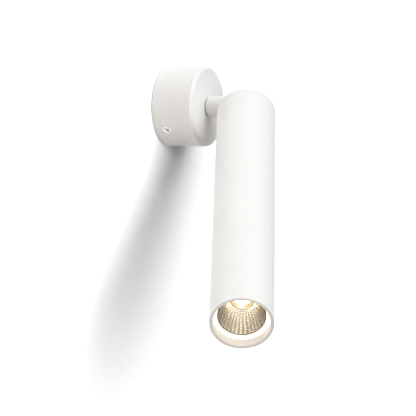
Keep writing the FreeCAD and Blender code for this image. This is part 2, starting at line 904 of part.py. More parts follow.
def driver_case():
    """An open tray with its back on the strip, rails for the board, and a wire hole at each end."""
    half_in = driver_half - case_wall
    lid_y = driver_front + case_wall
    tray = block((-driver_half, driver_half), (lid_y, strip_y), (driver_low, driver_top))
    room = block((-half_in, half_in), (lid_y - overrun, strip_y - case_wall),
                 (driver_low + case_wall, driver_top - case_wall))
    tray = tray.cut(room)
    for side in (-1, 1):
        x = sorted((side * half_in, side * (half_in - 2 * rail_half)))
        rail = block(x, (board_back, strip_y - case_wall), (driver_low + case_wall, driver_top - case_wall))
        tray = tray.fuse(rail)
    for side in (-1, 1):
        tray = tray.cut(rod(lead_r + slip, driver_low - overrun, driver_low + case_wall + overrun,
                            side * lead_x, lead_level()))
    tray = tray.cut(rod(inlet_r, driver_top - 2 * case_wall, driver_top + overrun, 0, lead_level()))
    for z in driver_screw_places():
        hole = Part.makeCylinder(m3_r + fixed_fit, 2 * case_wall, V(0, strip_y - case_wall, z), V(0, 1, 0))
        tray = tray.cut(hole)
    return tray.removeSplitter()


def driver_lid():
    outer = block((-driver_half, driver_half), (driver_front, driver_front + case_wall), (driver_low, driver_top))
    half = driver_half - case_wall - slip
    low, high = driver_low + case_wall + slip, driver_top - case_wall - slip
    lip_y = (driver_front + case_wall, driver_front + case_wall + lid_lip)
    lip = block((-half, half), lip_y, (low, high))
    inner = block((-half + case_wall, half - case_wall), lip_y, (low + case_wall, high - case_wall))
    return union([outer, lip.cut(inner)])


def driver_board():
    half = driver_half - case_wall - slip
    z = (driver_low + case_wall + board_end_gap, driver_top - case_wall - board_end_gap)
    return block((-half, half), (board_front, board_back), z)


def lead_level():
    """The depth of the wires in the driver's terminals: half their height off the board."""
    return board_front - driver_terminal_high / 2


def driver_terminals():
    made = []
    depth = (board_front - driver_terminal_high, board_front)
    ends = (driver_low + case_wall + board_end_gap, driver_top - case_wall - board_end_gap - driver_terminal_l)
    for low in ends:
        body = block((-driver_terminal_half, driver_terminal_half), depth, (low, low + driver_terminal_l))
        for side in (-1, 1):
            hole = rod(lead_r + slip, low - overrun, low + driver_terminal_l / 2, side * lead_x, lead_level())
            if low != ends[0]:
                hole = rod(wire_hole_r - slip, low + driver_terminal_l / 2, low + driver_terminal_l + overrun,
                           side * (wire_hole_r + slip), lead_level())
            body = body.cut(hole)
        made.append(body)
    return made


def driver_transformer():
    """A wound bobbin between the halves of a ferrite core."""
    middle = (driver_low + driver_top) / 2
    low = middle - transformer_l / 2
    half = transformer_half
    y = (board_front - transformer_high, board_front)
    core = block((-half, half), y, (low, low + transformer_l))
    window = block((-half / 2, half / 2), (y[0] - overrun, y[1] + overrun), (low + half / 2, low + transformer_l - half / 2))
    middle_y = (y[0] + y[1]) / 2
    winding = rod(half / 2 + edge_break, low + half / 2, low + transformer_l - half / 2, 0, middle_y)
    return union([core.cut(window), winding])


def driver_capacitors():
    middle = (driver_low + driver_top) / 2
    made = []
    for side in (-1, 1):
        centre = middle + side * (transformer_l / 2 + capacitor_l)
        can = rod(capacitor_r, centre - capacitor_l / 2, centre + capacitor_l / 2, 0, board_front - capacitor_r)
        made.append(can)
    return made


def led_leads():
    """Two insulated wires from the driver's lower terminal, between two fins, to the board's holder."""
    start = driver_low + case_wall + board_end_gap + driver_terminal_l / 3
    upper = driver_low - (driver_low - sink_end) / 4
    lower = sink_end + (driver_low - sink_end) / 4
    end = holder_z - holder_t / 2
    points = [V(0, lead_level(), start), V(0, lead_level(), upper), V(0, lead_y, lower), V(0, lead_y, end)]
    path = rounded_path(points)
    made = []
    for side in (-1, 1):
        spine = move(path, side * lead_x, 0, 0)
        section = Part.Wire(Part.makeCircle(lead_r, V(side * lead_x, lead_level(), start), V(0, 0, -1)))
        made.append(Part.Wire(spine.Edges).makePipeShell([section], True, False))
    return made


bend_run_share = 0.45


def rounded_path(points):
    """Straight runs joined by tangent arcs, each as large as its two runs allow."""
    edges = []
    last = points[0]
    for before, here, after in zip(points, points[1:], points[2:]):
        back, on = (before - here), (after - here)
        shorter = min(back.Length, on.Length)
        back.normalize()
        on.normalize()
        half_turn = (math.pi - back.getAngle(on)) / 2
        cut = bend_run_share * shorter
        radius = cut / math.tan(half_turn)
        inward = back + on
        inward.normalize()
        centre = here + inward * (radius / math.cos(half_turn))
        first, second = here + back * cut, here + on * cut
        edges.append(Part.LineSegment(last, first).toShape())
        edges.append(Part.Arc(first, centre - inward * radius, second).toShape())
        print("lead bend radius", round(radius, 1))
        last = second
    edges.append(Part.LineSegment(last, points[-1]).toShape())
    return Part.Wire(edges)


wall_pieces = (
    wall_bracket,
    bracket_nuts,
    cable_grommet,
    terminal_block,
    terminal_inserts,
    terminal_screws,
    terminal_fixing,
    earth_tag,
    earth_screw,
    canopy_housing,
    canopy_screws,
    stem_bush,
    thrust_washer,
    stop_pin,
    stop_ring,
    disc_spring,
    lock_nut,
    swivel_stem,
)
head_pieces = (
    top_cap,
    pivot_screws,
    tilt_washers,
    wire_seal,
    cap_screws,
    tube_housing,
    front_ring,
    reflector,
    led_holder,
    holder_screws,
    thermal_pad,
    led_board,
    led_emitter,
    heat_sink,
    sink_screws,
    driver_strip,
    strip_screws,
    driver_screws,
    driver_case,
    driver_lid,
    driver_board,
    driver_terminals,
    driver_transformer,
    driver_capacitors,
    led_leads,
)

os.makedirs("parts", exist_ok=True)
for pieces, place in ((wall_pieces, on_wall), (head_pieces, on_head)):
    for make in pieces:
        made = make()
        solids = made if isinstance(made, list) else [made]
        solids = [place(s) for s in solids]
        shape = solids[0] if len(solids) == 1 else Part.makeCompound(solids)
        shape.exportStep("parts/" + make.__name__ + ".step")
        volume = sum(s.Volume for s in shape.Solids)
        print(make.__name__, len(shape.Solids), "solids", round(volume), "mm3", "valid" if shape.isValid() else "INVALID")
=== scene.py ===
import json
import math
import bpy
from mathutils import Matrix, Vector


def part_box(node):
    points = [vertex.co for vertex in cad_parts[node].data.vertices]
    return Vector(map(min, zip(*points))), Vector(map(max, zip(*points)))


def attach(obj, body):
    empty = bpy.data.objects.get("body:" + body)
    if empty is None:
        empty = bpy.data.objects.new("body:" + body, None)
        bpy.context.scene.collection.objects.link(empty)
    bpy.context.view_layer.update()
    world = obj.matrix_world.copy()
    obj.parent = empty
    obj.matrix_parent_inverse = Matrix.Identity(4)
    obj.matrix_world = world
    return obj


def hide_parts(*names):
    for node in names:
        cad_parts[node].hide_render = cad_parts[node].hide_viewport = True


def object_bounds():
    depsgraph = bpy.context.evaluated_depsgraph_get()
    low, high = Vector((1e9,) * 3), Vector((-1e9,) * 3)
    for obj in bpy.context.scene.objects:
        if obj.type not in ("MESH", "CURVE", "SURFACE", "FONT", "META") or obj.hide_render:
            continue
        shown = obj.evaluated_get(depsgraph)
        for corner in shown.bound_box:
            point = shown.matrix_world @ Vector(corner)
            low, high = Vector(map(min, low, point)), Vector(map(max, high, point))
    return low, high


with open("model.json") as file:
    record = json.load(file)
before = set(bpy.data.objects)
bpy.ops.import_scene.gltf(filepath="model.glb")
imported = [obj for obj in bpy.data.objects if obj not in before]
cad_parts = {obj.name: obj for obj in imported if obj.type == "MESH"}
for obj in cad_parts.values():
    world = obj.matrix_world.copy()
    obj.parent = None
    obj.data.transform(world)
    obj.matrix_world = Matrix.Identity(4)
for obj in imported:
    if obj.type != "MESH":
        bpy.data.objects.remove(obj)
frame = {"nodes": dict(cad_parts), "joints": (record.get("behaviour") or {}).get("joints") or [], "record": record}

# A white wall spotlight, lit, seen from below and to its left. Places are in metres, and patterns in mm.
cadLow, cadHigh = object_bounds()
nodes = frame["nodes"]
joints = {j["name"]: j for j in frame["joints"]}
print("frame loaded:", len(nodes), "nodes")

mm = 0.001
sharpTurn = 30     # edges that bend by more than this, in degrees, stay sharp
weld = 0.001 * mm  # points this close become one
pivot = Vector(joints["tilt"]["pos_m"])
tubeLean = math.radians(joints["tilt"]["range_deg"][1])  # at its upper stop the tube hangs plumb
headPlace = Matrix.Translation(pivot) @ Matrix.Rotation(-tubeLean, 4, "X")  # tube space, which hangs down -Z
toHead = headPlace.inverted()


def headBox(name):
    points = [toHead @ v.co for v in nodes[name].data.vertices]
    return Vector(map(min, zip(*points))), Vector(map(max, zip(*points)))


def linear(hexText):
    parts = [int(hexText[i:i + 2], 16) / 255 for i in (1, 3, 5)]
    return [p / 12.92 if p <= 0.04045 else ((p + 0.055) / 1.055) ** 2.4 for p in parts] + [1]


def link(tree, source, socket):
    # a node given as the source stands for its first output
    tree.links.new(source.outputs[0] if isinstance(source, bpy.types.Node) else source, socket)


def addNode(tree, kind, values=None, links=None, **settings):
    node = tree.nodes.new(kind)
    for key, value in settings.items():
        setattr(node, key, value)
    for key, value in (values or {}).items():
        node.inputs[key].default_value = value
    for key, source in (links or {}).items():
        link(tree, source, node.inputs[key])
    return node


def perMetre(size):
    return 1 / (size * mm)  # a texture scale whose pattern is about this many millimetres wide


def grain(tree, size, detail=2, stretch=(1, 1, 1), turn=(0, 0, 0)):
    place = addNode(tree, "ShaderNodeTexCoord").outputs["Object"]
    if stretch != (1, 1, 1):
        mapping = {"Scale": stretch, "Rotation": turn}
        place = addNode(tree, "ShaderNodeMapping", mapping, {"Vector": place}, vector_type="TEXTURE")
    return addNode(tree, "ShaderNodeTexNoise", {"Scale": perMetre(size), "Detail": detail}, {"Vector": place})


def between(tree, pattern, low, high, start=0.3, end=0.7):
    # most of a noise lies between 0.3 and 0.7
    values = {"From Min": start, "From Max": end, "To Min": low, "To Max": high}
    return addNode(tree, "ShaderNodeMapRange", values, {"Value": pattern})


def blend(tree, pattern, first, second):
    values = {6: linear(first), 7: linear(second)}  # the mix's two colours
    return addNode(tree, "ShaderNodeMix", values, {0: pattern}, data_type="RGBA").outputs[2]


def bump(tree, pattern, height, under=None):
    links = {"Height": pattern}
    if under is not None:
        links["Normal"] = under
    return addNode(tree, "ShaderNodeBump", {"Distance": height * mm}, links)


def patchy(tree, v, under=None):
    # two tones in soft patches, a gloss that drifts and a fine relief
    detail = v.get("detail", 2)
    tones = between(tree, grain(tree, v["mottleSize"], detail), 0, 1)
    sockets = {
        "Base Color": blend(tree, tones, v["light"], v["shade"]),
        "Roughness": between(tree, grain(tree, v["sheenSize"], detail), *v["roughness"]),
    }
    if "grainSize" in v:
        sockets["Normal"] = bump(tree, grain(tree, v["grainSize"]), v["grainHeight"], under)
    return sockets


def newMaterial(name, values, build):
    material = bpy.data.materials.new(name)
    material.use_nodes = True
    tree = material.node_tree
    shader = tree.nodes["Principled BSDF"]
    for key, value in values.items():
        shader.inputs[key].default_value = value
    for key, source in build(tree).items():
        link(tree, source, shader.inputs[key])
    return material


powderCoat = {
    "light": "#F3F3F3",
    "shade": "#F1F1F1",
    "mottleSize": 25,
    "sheenSize": 3.6,
    "roughness": (0.42, 0.46),
    "specular": 0.4,
    "peelSize": 1.2,
    "peelHeight": 0.006,
    "grainSize": 0.4,  # the powder's grain is finer, and is drawn this coarse to show
    "grainHeight": 0.002,
}


def powderCoatedAluminium():
    # polyester powder baked on aluminium: a satin white with a faint orange peel
    v = powderCoat

    def build(tree):
        return patchy(tree, v, bump(tree, grain(tree, v["peelSize"]), v["peelHeight"]))
    return newMaterial("powderCoatedAluminium", {"Specular IOR Level": v["specular"]}, build)


ringPlastic = {
    "light": "#FBF8F1",
    "shade": "#F6F2E9",
    "mottleSize": 12,
    "sheenSize": 2,
    "roughness": (0.36, 0.46),
    "grainSize": 0.35,  # the mould's texture is finer, and is drawn this coarse to show
    "grainHeight": 0.004,
    "ior": 1.58,
    "glow": "#FFEDD6",  # a painted glow, standing in for the spotlight's light on the ring
    "strength": 1.05,
}


def mouldedPolycarbonate():
    # white polycarbonate from a spark-eroded mould: finely textured, with a painted glow for the spotlight's light
    # that falls on it
    v = ringPlastic
    values = {"IOR": v["ior"], "Emission Color": linear(v["glow"]), "Emission Strength": v["strength"]}
    return newMaterial("mouldedPolycarbonate", values, lambda tree: patchy(tree, v))


mirrorCoat = {
    "light": "#FCF7EC",
    "dullAndShade": "#3A2A1A",
    "roughness": (0.24, 0.36),  # where it is bright, and where it is dull
    "rippleSize": 2.5,
    "rippleHeight": 0.001,
}


def metallisedReflector():
    # aluminium evaporated on brown plastic: mirror bright facets with painted shade darkening their creases, and
    # bare at the rim
    v = mirrorCoat

    def build(tree):
        # this attribute dulls the finish and paints shade into the creases; it is full on the bare rim and shell
        dullAndShade = addNode(tree, "ShaderNodeAttribute", attribute_name="dullAndShade").outputs["Fac"]
        return {
            "Base Color": blend(tree, dullAndShade, v["light"], v["dullAndShade"]),
            "Roughness": between(tree, dullAndShade, *v["roughness"], 0, 1),
            "Normal": bump(tree, grain(tree, v["rippleSize"]), v["rippleHeight"]),
        }
    return newMaterial("metallisedReflector", {"Metallic": 1}, build)


phosphor = {
    "gel": "#F6D77A",
    "gelDeep": "#EEC45C",
    "glow": "#FFEEDC",
    "edgeGlow": "#F6B86C",
    "strength": (9.5, 0.9),  # over the chips, and past the last of them
    "chips": (6.0, 6.4),     # the glow falls off between these half widths of their square, in mm
    "turned": -25,           # of the square, in degrees
    "dieSize": 1.4,
    "dieTone": (0.1, 0.6),   # where a chip starts to darken and where it is darkest, as shares of its size
    "roughness": 0.35,
    "ior": 1.41,
}


def litPhosphorSilicone():
    # yellow phosphor in silicone over a square of blue chips, lit: white over the chips and amber past them
    v = phosphor

    def build(tree):
        place = addNode(tree, "ShaderNodeTexCoord").outputs["Object"]
        values = {"Scale": perMetre(v["dieSize"]), "Randomness": 0}
        dies = addNode(tree, "ShaderNodeTexVoronoi", values, {"Vector": place}).outputs["Distance"]
        out = place
        for values in ({"Location": pivot, "Rotation": (-tubeLean, 0, 0)},
                       {"Rotation": (0, 0, math.radians(v["turned"]))}):
            out = addNode(tree, "ShaderNodeMapping", values, {"Vector": out}, vector_type="TEXTURE")
        out = addNode(tree, "ShaderNodeVectorMath", links={0: out}, operation="ABSOLUTE")
        out = addNode(tree, "ShaderNodeSeparateXYZ", links={0: out}).outputs
        out = addNode(tree, "ShaderNodeMath", links={0: out[0], 1: out[1]}, operation="MAXIMUM")
        rim = between(tree, out, 0, 1, *[r * mm for r in v["chips"]])
        return {
            "Base Color": blend(tree, between(tree, dies, 0, 1, *v["dieTone"]), v["gel"], v["gelDeep"]),
            "Emission Color": blend(tree, rim, v["glow"], v["edgeGlow"]),
            "Emission Strength": between(tree, rim, *v["strength"], 0, 1),
        }
    return newMaterial("litPhosphorSilicone", {"Roughness": v["roughness"], "IOR": v["ior"]}, build)


screwSteel = {
    "light": "#F1F0ED",
    "shade": "#E4E2DD",
    "mottleSize": 1.5,
    "sheenSize": 0.8,
    "detail": 4,
    "roughness": (0.24, 0.36),
    "grainSize": 0.5,
    "grainHeight": 0.003,
}


def nickelPlatedSteel():
    # cold-headed steel with bright nickel: warm grey, small dull patches
    return newMaterial("nickelPlatedSteel", {"Metallic": 1}, lambda tree: patchy(tree, screwSteel))


zincSteel = {
    "light": "#C8CCD0",
    "shade": "#A9AEB4",
    "spangleSize": 5,
    "roughness": (0.28, 0.45),
    "detail": 4,
    "grainSize": 0.8,
    "grainHeight": 0.006,
}


def zincPlatedSteel():
    # pressed sheet with clear zinc: cool grey, with the cells of its spangle just showing
    v = zincSteel

    def build(tree):
        place = addNode(tree, "ShaderNodeTexCoord").outputs["Object"]
        values = {"Scale": perMetre(v["spangleSize"])}
        cells = addNode(tree, "ShaderNodeTexVoronoi", values, {"Vector": place}).outputs["Color"]
        tone = addNode(tree, "ShaderNodeSeparateColor", links={"Color": cells})
        return {
            "Base Color": blend(tree, tone, v["light"], v["shade"]),
            "Roughness": between(tree, tone, *v["roughness"], 0, 1),
            "Normal": bump(tree, grain(tree, v["grainSize"], v["detail"]), v["grainHeight"]),
        }
    return newMaterial("zincPlatedSteel", {"Metallic": 1}, build)


brassLook = {
    "light": "#D9B566",
    "shade": "#C09A48",
    "mottleSize": 4,
    "sheenSize": 2,
    "detail": 4,
    "roughness": (0.22, 0.4),
}


def plainBrass():
    # machined free-cutting brass, a little dulled by handling
    return newMaterial("plainBrass", {"Metallic": 1}, lambda tree: patchy(tree, brassLook))


aluminiumLook = {
    "light": "#DFE0E2",
    "shade": "#C6C8CB",
    "roughness": (0.28, 0.42),
    "lineWidth": 0.5,
    "lineStretch": 60,  # how many times longer than wide a die line is
    "detail": 3,
    "lineHeight": 0.006,
}


def extrudedAluminium():
    # bare extrusion: die lines run along the tube
    v = aluminiumLook

    def build(tree):
        lines = grain(tree, v["lineWidth"], v["detail"], (1, 1, v["lineStretch"]), (-tubeLean, 0, 0))
        return {
            "Base Color": blend(tree, between(tree, lines, 0, 1), v["light"], v["shade"]),
            "Roughness": between(tree, lines, *v["roughness"]),
            "Normal": bump(tree, lines, v["lineHeight"]),
        }
    return newMaterial("extrudedAluminium", {"Metallic": 1}, build)


# Moulded plastics and rubbers: two tones, roughness range, texture size and height in mm, IOR
mouldings = {
    "holder_plastic": ("heatResistantPolyester", "#F0ECE1", "#E8E3D6", (0.42, 0.55), 0.5, 0.006, 1.6),
    "nylon": ("glassFilledNylon", "#242426", "#17171A", (0.45, 0.62), 0.7, 0.012, 1.53),
    "rubber": ("softBlackRubber", "#1E1E1E", "#151515", (0.7, 0.85), 0.6, 0.015, 1.52),
    "pad_silicone": ("heatConductingSilicone", "#8E949E", "#7D838D", (0.6, 0.75), 0.8, 0.01, 1.41),
    "terminal_plastic": ("mouldedPolyamide", "#E3E1D6", "#D8D5C8", (0.4, 0.52), 0.5, 0.006, 1.53),
    "case_plastic": ("whiteCasePolycarbonate", "#E9E8E4", "#DEDDD8", (0.42, 0.55), 0.6, 0.01, 1.58),
    "can_sleeve": ("shrunkVinylSleeve", "#1F2136", "#181A2C", (0.22, 0.34), 2.0, 0.01, 1.54),
    "lead_sleeve": ("redSiliconeInsulation", "#B3261C", "#A01F17", (0.35, 0.5), 0.8, 0.006, 1.41),
    "ferrite": ("sinteredFerrite", "#332F2E", "#262322", (0.6, 0.8), 0.4, 0.02, 2.3),
}
patchTimes = {"mottleSize": 8, "sheenSize": 3, "grainSize": 1}  # patches, as multiples of the texture's size


def mouldedPlastic(name, light, shade, roughness, size, height, ior):
    v = {"light": light, "shade": shade, "roughness": roughness, "grainHeight": height}
    v.update({key: size * times for key, times in patchTimes.items()})
    return newMaterial(name, {"IOR": ior}, lambda tree: patchy(tree, v))


boardLook = {
    "mask": "#1F6A3A",
    "copper": "#2E8A4E",
    "trackPitch": 3.2,
    "trackEdge": (0.08, 0.14),  # where a track starts to rise and where it is full, as shares of the pitch
    "trackHeight": 0.035,
    "sheenSize": 2,
    "roughness": (0.25, 0.4),
    "ior": 1.55,
}


def solderMaskBoard():
    # green solder mask that rises over the copper tracks
    v = boardLook

    def build(tree):
        place = addNode(tree, "ShaderNodeTexCoord").outputs["Object"]
        cells = addNode(tree, "ShaderNodeTexVoronoi", {"Scale": perMetre(v["trackPitch"])}, {"Vector": place},
                        feature="DISTANCE_TO_EDGE", distance="EUCLIDEAN").outputs["Distance"]
        tracks = between(tree, cells, 0, 1, *v["trackEdge"])
        return {
            "Base Color": blend(tree, tracks, v["mask"], v["copper"]),
            "Roughness": between(tree, grain(tree, v["sheenSize"]), *v["roughness"]),
            "Normal": bump(tree, tracks, v["trackHeight"]),
        }
    return newMaterial("solderMaskBoard", {"IOR": v["ior"]}, build)


materials = {
    "white_paint": powderCoatedAluminium(),
    "ring_plastic": mouldedPolycarbonate(),
    "reflector_metal": metallisedReflector(),
    "phosphor": litPhosphorSilicone(),
    "screw_steel": nickelPlatedSteel(),
    "zinc_steel": zincPlatedSteel(),
    "brass": plainBrass(),
    "bare_aluminium": extrudedAluminium(),
    "circuit_board": solderMaskBoard(),
}
materials.update({slot: mouldedPlastic(*look) for slot, look in mouldings.items()})
for part in frame["record"]["subparts"]:
    nodes[part["node"]].data.materials[0] = materials[part["material_slot"]]
print("materials:", len(materials))


def newTree(name, inputs):
    # a Geometry Nodes tree with named inputs, and its input node's sockets by name
    tree = bpy.data.node_groups.new(name, "GeometryNodeTree")
    for title, kind in {"Geometry": "Geometry", **inputs, "Material": "Material"}.items():
        tree.interface.new_socket(title, in_out="INPUT", socket_type="NodeSocket" + kind)
    tree.interface.new_socket("Geometry", in_out="OUTPUT", socket_type="NodeSocketGeometry")
    return tree, addNode(tree, "NodeGroupInput").outputs


def endTree(tree, geometry, material):
    real = addNode(tree, "GeometryNodeRealizeInstances", links={0: geometry})
    coated = addNode(tree, "GeometryNodeSetMaterial", links={"Geometry": real, "Material": material})
    addNode(tree, "NodeGroupOutput", links={0: coated})


def makeMesh(name, points, edges=(), faces=()):
    mesh = bpy.data.meshes.new(name)
    mesh.from_pydata(points, edges, faces)
    return mesh


def grow(name, start, tree, values, place):
    # runs a tree on a start mesh and keeps the result as a plain mesh object
    holder = bpy.data.objects.new(name + "Start", start)
    bpy.context.scene.collection.objects.link(holder)
    modifier = holder.modifiers.new("grow", "NODES")
    modifier.node_group = tree
    for item in tree.interface.items_tree:
        if item.in_out == "INPUT" and item.name in values:
            modifier[item.identifier] = values[item.name]
    solved = holder.evaluated_get(bpy.context.evaluated_depsgraph_get())
    mesh = bpy.data.meshes.new_from_object(solved)
    holder.modifiers.remove(modifier)
    bpy.data.objects.remove(holder)
    mesh.transform(place)
    mesh.name = name
    piece = bpy.data.objects.new(name, mesh)
    bpy.context.scene.collection.objects.link(piece)
    return piece


def sharpen(tree, geometry):
    # shades everything smooth but the edges that bend by more than sharpTurn
    smooth = addNode(tree, "GeometryNodeSetShadeSmooth", links={"Geometry": geometry})
    bend = addNode(tree, "GeometryNodeInputMeshEdgeAngle")
    turn = math.radians(sharpTurn)
    corner = addNode(tree, "ShaderNodeMath", {1: turn}, {0: bend}, operation="GREATER_THAN")
    return addNode(tree, "GeometryNodeStoreNamedAttribute", {"Name": "sharp_edge", "Value": True},
                   {"Geometry": smooth, "Selection": corner}, data_type="BOOLEAN", domain="EDGE")


bowl = {
    "columns": 34,
    "rows": 12,
    "steps": 6,             # edges along each side of a facet
    "acrossDullAndShade": 0.68,     # where a facet starts to dull and darken with painted shade, from its middle at 0 to its border at 1
    "alongDullAndShade": 0.3,       # the same, from row to row
    "creaseDullAndShade": 0.74,     # how dull and how dark with painted shade its border is, against the bare rim at 1
    "bulge": 0.008,         # how far a facet's middle stands in, as a share of the radius there
    "baseRadius": 9.75 * mm,
    "rimEdge": 0.7 * mm,    # flat width of the rim
    "rimSlack": 0.3 * mm,   # how far the rim stands inside its solid, for the dark line round it
    "rimThick": 1.2 * mm,
    "wall": 0.8 * mm,
    "footHigh": 2.0 * mm,
    "footWall": 2.65 * mm,
    "round": 0.12 * mm,
    "shellSteps": 8,
}


def facetedBowlTree():
    # facets in rows and columns on a bowl that widens as a parabola, joined to a turned outer shell
    tree, given = newTree("facetedBowl", {
        "Columns": "Int", "Rows": "Int", "Steps": "Int", "Base radius": "Float", "Mouth radius": "Float",
        "Base height": "Float", "Mouth height": "Float", "Bulge": "Float", "Across dull and shade": "Float",
        "Along dull and shade": "Float", "Crease dull and shade": "Float"})
    ones = (1, 1, 1)
    halves = (0.5, 0.5, 0.5)
    borderSlack = 0.01  # in facets
    pillowTimes = 16    # brings the middle of x (1 - x) y (1 - y) to 1
    acrossCount, alongCount = [
        addNode(tree, "ShaderNodeMath", {2: 1}, {0: given[key], 1: given["Steps"]}, operation="MULTIPLY_ADD")
        for key in ("Columns", "Rows")]
    cells = addNode(tree, "ShaderNodeCombineXYZ", links={0: given["Columns"], 1: given["Rows"]})
    place = addNode(tree, "GeometryNodeInputPosition")
    grid = addNode(tree, "GeometryNodeMeshGrid", links={
        "Size X": given["Columns"], "Vertices X": acrossCount,
        "Size Y": given["Rows"], "Vertices Y": alongCount})

    # an edge is a facet's border where its middle is a whole number of facets across or along
    ends = addNode(tree, "GeometryNodeInputMeshEdgeVertices").outputs
    ends = {0: ends["Position 1"], 1: ends["Position 2"]}
    off = addNode(tree, "ShaderNodeVectorMath", links=ends, operation="ADD")
    off = addNode(tree, "ShaderNodeVectorMath", links={0: off, 1: cells}, operation="ADD")
    off = addNode(tree, "ShaderNodeVectorMath", {1: halves, 2: halves}, {0: off}, operation="MULTIPLY_ADD")
    off = addNode(tree, "ShaderNodeVectorMath", links={0: off}, operation="FRACTION")
    off = addNode(tree, "ShaderNodeVectorMath", {1: halves}, {0: off}, operation="SUBTRACT")
    off = addNode(tree, "ShaderNodeVectorMath", links={0: off}, operation="ABSOLUTE")
    off = addNode(tree, "ShaderNodeSeparateXYZ", links={0: off}).outputs
    least = addNode(tree, "ShaderNodeMath", links={0: off[0], 1: off[1]}, operation="MINIMUM")
    border = addNode(tree, "ShaderNodeMath", {1: borderSlack}, {0: least}, operation="LESS_THAN")
    marked = addNode(tree, "GeometryNodeStoreNamedAttribute", {"Name": "sharp_edge", "Value": True},
                     {"Geometry": grid, "Selection": border}, data_type="BOOLEAN", domain="EDGE")

    # which facet a point is on, and where on it
    counted = {0: cells, 2: place}
    counted = addNode(tree, "ShaderNodeVectorMath", {1: halves}, counted, operation="MULTIPLY_ADD")
    along = addNode(tree, "ShaderNodeSeparateXYZ", links={0: counted}).outputs
    facet = addNode(tree, "ShaderNodeVectorMath", links={0: counted}, operation="FLOOR")
    facetRow = addNode(tree, "ShaderNodeSeparateXYZ", links={0: facet}).outputs[1]
    part = addNode(tree, "ShaderNodeVectorMath", links={0: counted}, operation="FRACTION")
    parts = addNode(tree, "ShaderNodeSeparateXYZ", links={0: part}).outputs
    rest = addNode(tree, "ShaderNodeVectorMath", {0: ones}, {1: part}, operation="SUBTRACT")
    rise = addNode(tree, "ShaderNodeVectorMath", links={0: part, 1: rest}, operation="MULTIPLY")
    rise = addNode(tree, "ShaderNodeSeparateXYZ", links={0: rise}).outputs
    pillow = addNode(tree, "ShaderNodeMath", links={0: rise[0], 1: rise[1]}, operation="MULTIPLY")
    pillow = addNode(tree, "ShaderNodeMath", {1: pillowTimes}, {0: pillow}, operation="MULTIPLY")
    pillow = addNode(tree, "ShaderNodeMath", links={0: pillow, 1: given["Bulge"]}, operation="MULTIPLY")

    # the bowl's radius squared grows evenly from row to row
    squares = [addNode(tree, "ShaderNodeMath", {1: 2}, {0: given[key]}, operation="POWER")
               for key in ("Base radius", "Mouth radius")]
    radii = []
    for step in (0, 1):
        row = addNode(tree, "ShaderNodeMath", {1: step}, {0: facetRow}, operation="ADD")
        square = addNode(tree, "ShaderNodeMapRange", links={
            "Value": row, "From Max": given["Rows"], "To Min": squares[0], "To Max": squares[1]}, clamp=False)
        radii.append(addNode(tree, "ShaderNodeMath", {1: 0.5}, {0: square}, operation="POWER"))
    radius = addNode(tree, "ShaderNodeMix", links={0: parts[1], 2: radii[0], 3: radii[1]})
    height = addNode(tree, "ShaderNodeMapRange", links={
        "Value": along[1], "From Max": given["Rows"], "To Min": given["Base height"],
        "To Max": given["Mouth height"]}, clamp=False)

    # each facet is straight across, so the radius falls a little towards its middle
    oneTurn = addNode(tree, "ShaderNodeMath", {0: 2 * math.pi}, {1: given["Columns"]}, operation="DIVIDE")
    half = addNode(tree, "ShaderNodeMath", {1: 0.5}, {0: oneTurn}, operation="MULTIPLY")
    fromMiddle = addNode(tree, "ShaderNodeMath", {1: 0.5}, {0: parts[0]}, operation="SUBTRACT")
    swing = addNode(tree, "ShaderNodeMath", links={0: fromMiddle, 1: oneTurn}, operation="MULTIPLY")
    cosines = [addNode(tree, "ShaderNodeMath", links={0: turn}, operation="COSINE") for turn in (half, swing)]
    chord = addNode(tree, "ShaderNodeMath", links={0: cosines[0], 1: cosines[1]}, operation="DIVIDE")
    angle = addNode(tree, "ShaderNodeMath", links={0: along[0], 1: oneTurn}, operation="MULTIPLY")
    share = addNode(tree, "ShaderNodeMath", links={0: chord, 1: pillow}, operation="SUBTRACT")
    out = addNode(tree, "ShaderNodeMath", links={0: radius, 1: share}, operation="MULTIPLY")
    flat = addNode(tree, "ShaderNodeCombineXYZ", links={0: out, 2: height})
    wrapped = addNode(tree, "ShaderNodeVectorRotate", links={"Vector": flat, "Angle": angle},
                      rotation_type="Z_AXIS")

    # the finish dulls, and is darkened with painted shade, towards a facet's border
    reach = addNode(tree, "ShaderNodeVectorMath", links={0: part, 1: rest}, operation="SUBTRACT")
    reach = addNode(tree, "ShaderNodeVectorMath", links={0: reach}, operation="ABSOLUTE")
    reach = addNode(tree, "ShaderNodeSeparateXYZ", links={0: reach}).outputs
    dullsAndShades = [addNode(tree, "ShaderNodeMapRange", {"From Max": 1},
                     {"Value": reach[i], "From Min": given[key], "To Max": given["Crease dull and shade"]})
             for i, key in enumerate(("Across dull and shade", "Along dull and shade"))]
    dullAndShade = addNode(tree, "ShaderNodeMath", links={0: dullsAndShades[0], 1: dullsAndShades[1]}, operation="MAXIMUM")
    noted = addNode(tree, "GeometryNodeStoreNamedAttribute", {"Name": "dullAndShade"},
                    {"Geometry": marked, "Value": dullAndShade}, data_type="FLOAT", domain="POINT")
    facets = addNode(tree, "GeometryNodeSetPosition", links={"Geometry": noted, "Position": wrapped})

